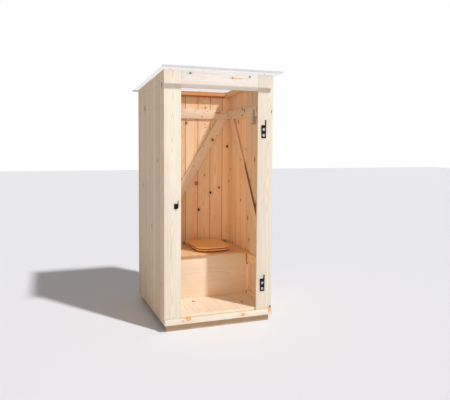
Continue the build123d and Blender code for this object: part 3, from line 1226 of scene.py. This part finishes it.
@dataclass
class BoltHeads:
    """Hexagon bolt heads with washers over the ends of the plates' bolts."""

    name: str
    places: Sequence[Point]
    radius: float = 0.0083
    height: float = 0.0053
    sides: int = 6
    chamfer: float = 0.0012
    chamfer_rise: float = 0.0002
    rim: float = 0.0016
    dish: float = 0.0006
    washer_radius: float = 0.0115
    washer_thick: float = 0.0016
    washer_ease: float = 0.0004
    washer_sides: int = 20

    def build(self, material: Material) -> None:
        """Model one bolt head on its washer and copy it to every place.

        Args:
            material: The finish of the bolts.
        """
        first = Vector(self.places[0])
        washer = Shaper.rod(self.name + "_washer", first, -DEPTH, self.washer_radius, self.washer_thick,
                            self.washer_sides)
        washer.ease(self.washer_ease, 1)
        head = Shaper.rod(self.name, first, -DEPTH, self.radius, self.height, self.sides)
        head.pick(Part.FACE, lambda middle, normal: normal.y < -FACING)
        bpy.ops.mesh.inset(thickness=self.chamfer, depth=0.0)
        bpy.ops.transform.translate(value=(0.0, -self.chamfer_rise, 0.0))
        bpy.ops.mesh.inset(thickness=self.rim, depth=-self.dish)
        head.done()
        bolts = Shaper.join([head, washer], self.name).spread(self.places, self.name)
        bolts.smooth(degrees=35.0)
        settle(bolts, material, "zinc_steel")


# Sub-assemblies


SILL_KNOTS = Face(1, -0.556).knots(
    (-0.295, 0.104, 0.014, PALE, 1.7), (-0.343, 0.091, 0.007, PALE, 1.5), (0.217, 0.090, 0.012, PALE, 1.8),
    (0.481, 0.100, 0.012, PALE, 1.4))
FLOOR_KNOTS = Face(2, 0.133).knots(
    (-0.130, -0.157, 0.012, LIVE, 1.5), (0.303, -0.315, 0.010, DEAD, 1.3), (0.258, -0.220, 0.007, FAINT, 1.6),
    (-0.400, 0.230, 0.010, LIVE, 1.3), (0.020, 0.310, 0.008, LIVE, 1.3))
LEFT_WALL_KNOTS = Face(0, -HALF_WIDTH).knots(
    (0.236, 1.971, 0.015, DEAD, 1.6), (-0.460, 2.125, 0.013, DEAD, 1.6), (0.095, 1.988, 0.006, FAINT, 1.4),
    (-0.300, 1.480, 0.010, LIVE, 1.3), (0.330, 1.220, 0.009, DEAD, 1.3), (-0.060, 0.860, 0.012, LIVE, 1.4),
    (0.470, 0.640, 0.008, LIVE, 1.2), (-0.420, 0.390, 0.009, FAINT, 1.5))
RIGHT_WALL_KNOTS = Face(0, 0.486).knots(
    (0.476, 1.365, 0.007, LIVE, 1.4), (0.525, 1.228, 0.009, LIVE, 1.5), (0.368, 1.650, 0.007, LIVE, 1.3),
    (0.320, 1.833, 0.006, LIVE, 1.3), (-0.085, 1.829, 0.007, LIVE, 1.3), (0.052, 1.582, 0.007, FAINT, 1.4),
    (-0.177, 1.479, 0.012, LIVE, 2.1), (0.186, 1.050, 0.009, LIVE, 1.3), (-0.068, 1.271, 0.008, LIVE, 1.4),
    (0.255, 1.867, 0.009, DEAD, 2.2), (-0.013, 0.887, 0.011, LIVE, 2.2), (-0.051, 0.669, 0.010, LIVE, 2.2),
    (-0.216, 1.043, 0.014, DEAD, 1.8), (-0.400, 1.700, 0.009, LIVE, 1.3), (0.400, 0.560, 0.010, LIVE, 1.3))
REAR_WALL_KNOTS = Face(1, 0.543).knots(
    (0.469, 1.607, 0.012, DEAD, 1.2), (0.377, 1.157, 0.009, DEAD, 1.3), (0.278, 1.103, 0.011, DEAD, 1.3),
    (0.144, 0.920, 0.012, DEAD, 1.3), (0.115, 1.207, 0.019, RED, 1.2), (0.003, 1.853, 0.014, RED, 1.2),
    (0.212, 1.843, 0.005, RESIN, 1.3), (0.213, 1.811, 0.005, RESIN, 1.3), (0.209, 1.295, 0.008, FAINT, 1.6),
    (0.215, 2.020, 0.010, RESIN, 1.2), (-0.200, 1.420, 0.010, LIVE, 1.3), (-0.320, 0.900, 0.009, LIVE, 1.3),
    (-0.120, 0.420, 0.011, DEAD, 1.3))
FRONT_BOARD_KNOTS = Face(1, FRONT_Y).knots(
    (0.497, 0.128, 0.010, LIVE, 1.2), (0.490, 1.922, 0.0035, DEAD, 3.6))
HEADER_KNOTS = Face(1, FRONT_Y).knots(
    (0.109, 2.205, 0.007, LIVE, 1.3), (0.165, 2.203, 0.0022, FAINT, 26.0), (-0.275, 2.228, 0.006, DEAD, 1.6),
    (0.275, 2.224, 0.005, DEAD, 1.4))
REAR_LEDGER_KNOTS = Face(1, 0.523).knots(
    (0.352, 1.970, 0.011, PALE, 3.4), (0.173, 1.926, 0.005, LIVE, 1.3), (-0.260, 1.940, 0.008, LIVE, 1.3))
# The last entry is a long dark brown bar near the front end of the ledger, drawn with the knot pattern.
RIGHT_LEDGER_KNOTS = Face(0, 0.466).knots(
    (0.102, 1.984, 0.008, LIVE, 1.5), (0.052, 1.968, 0.009, DEAD, 1.5), (0.098, 1.921, 0.008, DEAD, 1.3),
    (-0.250, 1.962, 0.032, RED, 0.22))
LEFT_LEDGER_KNOTS = Face(0, -0.466).knots((0.200, 1.950, 0.008, LIVE, 1.3), (-0.300, 1.930, 0.007, DEAD, 1.3))
REAR_BRACE_KNOTS = Face(1, 0.523).knots((0.292, 1.676, 0.014, LIVE, 1.1), (-0.100, 1.220, 0.009, LIVE, 1.3))
RIGHT_BRACE_KNOTS = Face(0, 0.466).knots((0.145, 1.470, 0.008, FAINT, 1.3))
BENCH_KNOTS = Face(2, 0.560).knots((-0.330, 0.120, 0.009, LIVE, 1.4), (0.400, 0.380, 0.008, LIVE, 1.4))
# Two dark spots on the bench post, drawn as dead knots, as painted shade in the gaps at its top and at its
# foot.
POST_SHADE_SPOTS = Face(1, -0.048).knots((0.468, 0.437, 0.008, DEAD, 1.0), (0.466, 0.147, 0.009, DEAD, 1.0))


@dataclass
class Base:
    """Bearers, sill, joists and floor."""

    nails: Material
    bearer_ease: float = 0.003
    joist_ease: float = 0.002
    sill_ease: float = 0.004
    boards: int = 7
    board_pitch: float = 0.1388
    floor_groove: float = 0.0008
    nail_in: float = 0.030

    def build(self) -> None:
        """Build the base and nail every floor board at its ends and its middle."""
        for node in ("front_bearer", "rear_bearer", "front_joist", "rear_joist"):
            Timber(node, "base_timber", BASE_PINE, SIDE, DEPTH, ease=self.bearer_ease).build()
        Timber("floor_joists", "base_timber", BASE_PINE, DEPTH, UP, ease=self.joist_ease).build()
        Timber("sill", "front_timber", FRONT_PINE, SIDE, DEPTH, SILL_KNOTS, self.sill_ease).build()
        low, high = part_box("floor")
        joints = [low.x + self.board_pitch * number for number in range(1, self.boards)]
        BoardWall("floor", "floor_boards", FLOOR_PINE, SIDE, UP, DEPTH, joints, FLOOR_KNOTS,
                  self.floor_groove).build()
        depths = (low.y + self.nail_in, 0.0, high.y - self.nail_in)
        pairs = nail_pairs([low.x, *joints, high.x], depths, self.nail_in)
        NailHeads("floor_nails", [(x, y, high.z) for x, y in pairs], UP).build(self.nails)


@dataclass
class Walls:
    """The three walls of vertical boards."""

    nails: Material
    boards: int = 8
    side_pitch: float = 0.138
    rear_pitch: float = 0.139
    rear_first: float = 0.0825
    nail_in: float = 0.028
    nail_heights: tuple[float, ...] = (0.086, 0.495, 1.9475, 2.13)

    def build(self) -> None:
        """Build the walls and nail every board to the rails and the floor frame from outside."""
        side_low, side_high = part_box("left_wall")
        rear_low, rear_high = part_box("rear_wall")
        side_joints = [side_low.y + self.side_pitch * number for number in range(1, self.boards)]
        rear_start = self.rear_first - HALF_WIDTH
        rear_joints = [rear_start + self.rear_pitch * number for number in range(self.boards - 1)]
        side_pairs = nail_pairs([side_low.y, *side_joints, side_high.y], self.nail_heights, self.nail_in)
        rear_pairs = nail_pairs([rear_low.x, *rear_joints, rear_high.x], self.nail_heights, self.nail_in)
        for node, finish, across, through, joints, knots, outward in (
            ("left_wall", SIDE_WALL_PINE, DEPTH, SIDE, side_joints, LEFT_WALL_KNOTS, -SIDE),
            ("right_wall", SIDE_WALL_PINE, DEPTH, SIDE, side_joints, RIGHT_WALL_KNOTS, SIDE),
            ("rear_wall", WALL_PINE, SIDE, DEPTH, rear_joints, REAR_WALL_KNOTS, DEPTH),
        ):
            BoardWall(node, "wall_boards", finish, across, through, UP, joints, knots,
                      outward=outward).build()
        for name, places, facing in (
            ("left_wall_nails", [(side_low.x, y, z) for y, z in side_pairs], -SIDE),
            ("right_wall_nails", [(-side_low.x, y, z) for y, z in side_pairs], SIDE),
            ("rear_wall_nails", [(x, rear_high.y, z) for x, z in rear_pairs], DEPTH),
        ):
            NailHeads(name, places, facing).build(self.nails)


@dataclass
class Front:
    """Two full-height boards and the header between them."""

    nails: Material
    ease: float = 0.003
    nail_places: tuple[Point, ...] = ((-0.279, FRONT_Y, 2.225), (0.271, FRONT_Y, 2.222))
    nail_radius: float = 0.0062
    nail_proud: float = 0.0014

    def build(self) -> None:
        """Build the front."""
        for node, finish, along, knots in (("left_front_board", FRONT_PINE, UP, ()),
                                           ("right_front_board", FRONT_PINE, UP, FRONT_BOARD_KNOTS),
                                           ("header", HEADER_PINE, SIDE, HEADER_KNOTS)):
            Timber(node, "front_timber", finish, along, -DEPTH, knots, self.ease).build()
        heads = NailHeads("header_nails", self.nail_places, -DEPTH, self.nail_radius, self.nail_proud)
        heads.build(self.nails)


@dataclass
class Rails:
    """Ledgers, low rails, roof rails, braces and battens inside."""

    nails: Material
    roof_rail_ease: float = 0.004
    rear_brace_cut: float = 0.112
    side_brace_cut: float = 0.110
    # Painted shadow along the right brace's front edge.
    painted_edge_shadow: EdgeShadow = EdgeShadow(0.36, 0.16)
    nail_drop: float = 0.014
    nail_radius: float = 0.0048
    nail_proud: float = 0.0012
    rear_nails: tuple[float, ...] = (-0.466, -0.327, -0.188, -0.049, 0.094, 0.231, 0.370, 0.451)
    brace_nails: tuple[tuple[float, float], ...] = ((0.193, 1.606), (0.336, 1.721), (0.079, 1.393),
                                                    (-0.056, 1.264))
    side_nails: int = 7
    side_spacing: float = 0.138
    lower_nail_shift: float = 0.030
    lower_nail_rise: float = 0.018
    screw_radius: float = 0.005
    screw_proud: float = 0.0010
    screw_in: float = 0.022
    screw_ends: tuple[float, float] = (0.035, 0.040)
    front_screws: tuple[float, float] = (-0.189, -0.240)
    front_screw_drop: float = 0.031

    def build(self) -> None:
        """Build the rails and nail them."""
        self.rail("rear_ledger", SIDE, DEPTH, knots=REAR_LEDGER_KNOTS)
        self.rail("right_ledger", DEPTH, SIDE, knots=RIGHT_LEDGER_KNOTS)
        self.rail("left_ledger", DEPTH, SIDE, knots=LEFT_LEDGER_KNOTS)
        self.rail("rear_low_rail", SIDE, DEPTH)
        for node in ("right_low_rail", "left_low_rail"):
            self.rail(node, DEPTH, SIDE, SIDE_RAIL_PINE)
        self.rail("floor_battens", DEPTH, SIDE)
        self.rail("front_top_rail", SIDE, UP, ease=self.roof_rail_ease)
        self.rail("rear_top_rail", SIDE, DEPTH, TOP_RAIL_PINE, ease=self.roof_rail_ease)
        for node in ("right_top_rail", "left_top_rail"):
            self.rail(node, DEPTH, UP, SIDE_RAIL_PINE, ease=self.roof_rail_ease)
        slope = self.slope("rear_brace", SIDE, self.rear_brace_cut)
        self.rail("rear_brace", slope, DEPTH, BRACE_PINE, knots=REAR_BRACE_KNOTS)
        slope = self.slope("right_brace", DEPTH, self.side_brace_cut)
        self.rail("right_brace", slope, SIDE, SIDE_BRACE_PINE, knots=RIGHT_BRACE_KNOTS, wane=self.painted_edge_shadow)
        self.rail("left_brace", slope, SIDE, SIDE_BRACE_PINE)
        self.nail_ledgers()
        self.screw_low_rails()

    @staticmethod
    def rail(node: str, along: Vector, through: Vector, finish: PineFinish = RAIL_PINE,
             **more: object) -> None:
        """Build one rail in the place of its node, with any more fields of a timber."""
        Timber(node, "rails", finish, along, through, **more).build()

    @staticmethod
    def slope(node: str, way: Vector, cut: float) -> Vector:
        """Find the direction of a brace.

        Args:
            node: The brace's node.
            way: The level direction of its wall.
            cut: Length of its level end.

        Returns:
            The unit vector along it.
        """
        low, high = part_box(node)
        return (way * ((high - low).dot(way) - cut) + UP * (high.z - low.z)).normalized()

    def nail_ledgers(self) -> None:
        """Nail the ledgers to every board, and the rear brace to four of them."""
        low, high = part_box("rear_ledger")
        top = high.z - self.nail_drop
        rear = [(x, low.y, top) for x in self.rear_nails] + [(x, low.y, z) for x, z in self.brace_nails]
        NailHeads("rear_ledger_nails", rear, -DEPTH, self.nail_radius, self.nail_proud).build(self.nails)
        low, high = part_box("right_ledger")
        depths = [low.y + self.side_spacing * (number + 0.5) for number in range(self.side_nails)]
        spots = [(y, top) for y in depths]
        spots += [(y + self.lower_nail_shift, low.z + self.lower_nail_rise) for y in depths[::2]]
        self.nail_both("ledger_nails", low.x, spots, self.nail_radius)

    def screw_low_rails(self) -> None:
        """Screw the low rails to the side walls at their ends and ahead of the bench."""
        low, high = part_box("right_low_rail")
        lower, upper = low.z + self.screw_in, high.z - self.screw_in
        spots = list(zip(self.front_screws, (high.z - self.front_screw_drop, lower)))
        for y in (low.y + self.screw_ends[0], high.y - self.screw_ends[1]):
            spots += [(y, lower), (y, upper)]
        self.nail_both("low_rail_screws", low.x, spots, self.screw_radius, self.screw_proud)

    def nail_both(self, name: str, x: float, spots: Sequence[tuple[float, float]], *sizes: float) -> None:
        """Put heads at the same spots of a right rail and of the left one that mirrors it.

        Args:
            name: What the heads of both rails are called.
            x: Where the right rail's face is.
            spots: Depth and height of each head.
            *sizes: A head's radius, and how far it stands proud if that differs.
        """
        for side, side_name in ((1, "right"), (-1, "left")):
            places = [(x * side, y, z) for y, z in spots]
            NailHeads(f"{side_name}_{name}", places, -SIDE * side, *sizes).build(self.nails)


@dataclass
class Bench:
    """Bench top, its front, posts and steel angles."""

    steel: Material
    top_ease: float = 0.0025
    front_ease: float = 0.001
    nose_limit: float = 0.7
    screw_radius: float = 0.0035
    screw_proud: float = 0.0005
    screw_in: float = 0.020
    screw_rise: float = 0.018
    middle_screw: float = 0.150

    def build(self) -> None:
        """Build the bench."""
        top = Timber("bench_top", "bench_boards", BENCH_PINE, SIDE, UP, BENCH_KNOTS, self.top_ease).build()[0]
        self.colour_nose(top)
        Timber("bench_front", "bench_boards", PLY_FACE, SIDE, DEPTH, ease=self.front_ease).build()
        Timber("bench_posts", "rails", RAIL_PINE, UP, DEPTH, POST_SHADE_SPOTS).build()
        repaint(self.steel, "bench_brackets")
        low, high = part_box("bench_front")
        row = (low.x + self.screw_in, -self.middle_screw, self.middle_screw, high.x - self.screw_in)
        places = [(x, low.y, low.z + self.screw_rise) for x in row]
        NailHeads("bench_front_screws", places, -DEPTH, self.screw_radius, self.screw_proud).build(self.steel)

    def colour_nose(self, top: Piece) -> None:
        """Give the front face of the bench top's edge its darker, browner tone.

        Args:
            top: The bench top.
        """
        top.data.materials.append(NOSE_PINE.dress("bench_nose", along=SIDE, across=DEPTH))
        for face in top.data.polygons:
            if face.normal.y < -self.nose_limit:
                face.material_index = 1


@dataclass
class ToiletSeat:
    """Lacquered ring and lid on bright hinges, with pale pads; each board's number sets its grain."""

    ring_board: float = 0.61
    lid_board: float = 0.27

    def build(self) -> None:
        """Finish the seat's solids, whose shapes are right as they are."""
        for node, board in (("seat_ring", self.ring_board), ("seat_lid", self.lid_board)):
            low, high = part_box(node)
            source = Source((low + high) / 2, (high - low) / 2, board)
            repaint(SEAT_LACQUER.dress(node + "_lacquer", source=source), node)
        repaint(BRIGHT_STEEL.dress("bright_steel"), "ring_straps", "hinge_posts", "lid_hinges")
        repaint(PAD_RUBBER.dress("pad_rubber"), "seat_pads", "lid_pads")


@dataclass
class Fittings:
    """Hinge pins and latch catch on the front, and the strap on the ledger."""

    steel: Material
    pins: tuple[str, str] = ("lower_hinge_pin", "upper_hinge_pin")
    plate_front: float = -0.537
    bolt_rises: tuple[float, float] = (0.025, 0.077)
    strap_screw_drops: tuple[float, float] = (0.012, 0.045)
    screw_radius: float = 0.005
    screw_proud: float = 0.0012

    def build(self) -> None:
        """Finish the fittings and put bright bolts on the plates and screws in the strap."""
        repaint(BLACK_STEEL.dress("black_steel"), *self.pins, "latch_catch")
        places = []
        for node in self.pins:
            low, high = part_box(node)
            places += [((low.x + high.x) / 2, self.plate_front, low.z + rise) for rise in self.bolt_rises]
        BoltHeads("pintle_bolts", places).build(BRIGHT_STEEL.dress("bright_bolts"))
        repaint(self.steel, "ledger_strap")
        low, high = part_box("ledger_strap")
        screws = [(low.x, (low.y + high.y) / 2, high.z - drop) for drop in self.strap_screw_drops]
        NailHeads("strap_screws", screws, -SIDE, self.screw_radius, self.screw_proud).build(self.steel)


@dataclass
class Roof:
    """Clear sheet, its capping profiles and the screws that hold it."""

    steel: Material
    sheet_thick: float = 0.010
    screw_rows: tuple[float, float] = (-0.480, 0.520)
    screw_places: tuple[float, ...] = (-0.440, -0.147, 0.147, 0.440)
    screw_radius: float = 0.008
    screw_high: float = 0.003

    def build(self) -> None:
        """Finish the roof."""
        repaint(CLEAR_ROOF.dress("clear_roof"), "roof_sheet")
        repaint(PALE_TRIM.dress("roof_trim"), "roof_trims")
        places = [(x, y, ROOF_LINE.height(y) + self.sheet_thick) for y in self.screw_rows
                  for x in self.screw_places]
        NailHeads("roof_screws", places, UP, self.screw_radius, self.screw_high).build(self.steel)


@dataclass(frozen=True)
class Lamp:
    """A far lamp: strength, apparent size in degrees, the direction in which it hangs, and colour."""

    name: str
    strength: float
    spread: float
    toward: Point
    colour: Colour

    def hang(self) -> None:
        """Hang the lamp."""
        data = bpy.data.lights.new(self.name, "SUN")
        data.energy = self.strength
        data.angle = math.radians(self.spread)
        data.color = self.colour
        lamp = bpy.data.objects.new(self.name, data)
        lamp.matrix_world = Vector(self.toward).to_track_quat("Z", "Y").to_matrix().to_4x4()
        bpy.context.scene.collection.objects.link(lamp)


@dataclass
class Studio:
    """Pale floor, soft lamps and the camera: a key at the front right, a broad warm fill low in front."""

    key: Lamp = Lamp("key", 2.73, 3.0, (0.36, -0.54, 0.76), (0.945, 0.95, 0.985))
    fill: Lamp = Lamp("fill", 0.94, 32.0, (-0.43, -0.89, 0.13), (1.0, 0.59, 0.32))
    sky: float = 0.26
    sky_tint: Colour = (0.93, 0.95, 1.0)
    floor_size: float = 60.0
    floor_colour: Colour = srgb(242, 242, 243)
    eye: Point = (-1.57208, -4.85847, 1.60627)
    yaw: float = 0.357659
    pitch: float = 0.063569
    roll: float = 0.005948
    lens: float = 41.95
    sensor: float = 36.0
    rise: float = -0.04483

    def build(self) -> None:
        """Set up floor, light and camera."""
        self.floor()
        self.key.hang()
        self.fill.hang()
        self.surroundings()
        self.camera()
        bpy.context.scene.view_settings.view_transform = "Standard"

    def floor(self) -> None:
        """Lay a large pale floor that keeps the object's shadow."""
        Shaper.deselect()
        bpy.ops.mesh.primitive_plane_add(size=self.floor_size, location=(0.0, 0.0, 0.0))
        ground = Shaper.take("studio_floor")
        ground.edit()
        bpy.ops.mesh.select_all(action="SELECT")
        bpy.ops.mesh.subdivide(number_cuts=3)
        ground.done()
        look = {"Base Color": self.floor_colour, "Roughness": 0.9, "Specular IOR Level": 0.1}
        ground.piece.data.materials.append(Skin("studio_floor").paint(look))

    def surroundings(self) -> None:
        """Light the object dimly from all round, and show white to the eye and in reflections."""
        world = bpy.data.worlds.new("studio")
        world.use_nodes = True
        bpy.context.scene.world = world
        tree = Tree(world.node_tree)
        path = tree.node("ShaderNodeLightPath").outputs
        seen = tree.math("MAXIMUM", path["Is Glossy Ray"], path["Is Transmission Ray"])
        seen = tree.math("MAXIMUM", path["Is Camera Ray"], seen)
        light = {"Color": tree.mix(seen, self.sky_tint, WHITE),
                 "Strength": tree.line(seen, 1.0 - self.sky, self.sky)}
        tree.fill(world.node_tree.nodes["Background"], light)

    def camera(self) -> None:
        """Place the camera at the photograph's viewing angle."""
        data = bpy.data.cameras.new("camera")
        data.lens = self.lens
        data.sensor_width = self.sensor
        data.shift_y = self.rise
        camera = bpy.data.objects.new("camera", data)
        bpy.context.scene.collection.objects.link(camera)
        level = Vector((math.cos(self.yaw), -math.sin(self.yaw), 0.0))
        ahead = Vector((math.sin(self.yaw), math.cos(self.yaw), 0.0))
        forward = ahead * math.cos(self.pitch) - UP * math.sin(self.pitch)
        rise = level.cross(forward)
        right = level * math.cos(self.roll) + rise * math.sin(self.roll)
        top = rise * math.cos(self.roll) - level * math.sin(self.roll)
        turn = Matrix((right, top, -forward)).transposed().to_4x4()
        camera.matrix_world = Matrix.Translation(Vector(self.eye)) @ turn
        bpy.context.scene.camera = camera


def main() -> None:
    """Build every sub-assembly, then the studio."""
    logging.basicConfig(level=logging.INFO, format="%(name)s: %(message)s")
    steel = ZINC_STEEL.dress("zinc_steel")
    nails = NAIL_STEEL.dress("nail_steel")
    for assembly in (Base(nails), Walls(nails), Front(nails), Rails(nails), Bench(steel), ToiletSeat(),
                     Fittings(steel), Roof(steel), Studio()):
        assembly.build()
    Shaper.deselect()


if __name__ == "__main__":
    main()
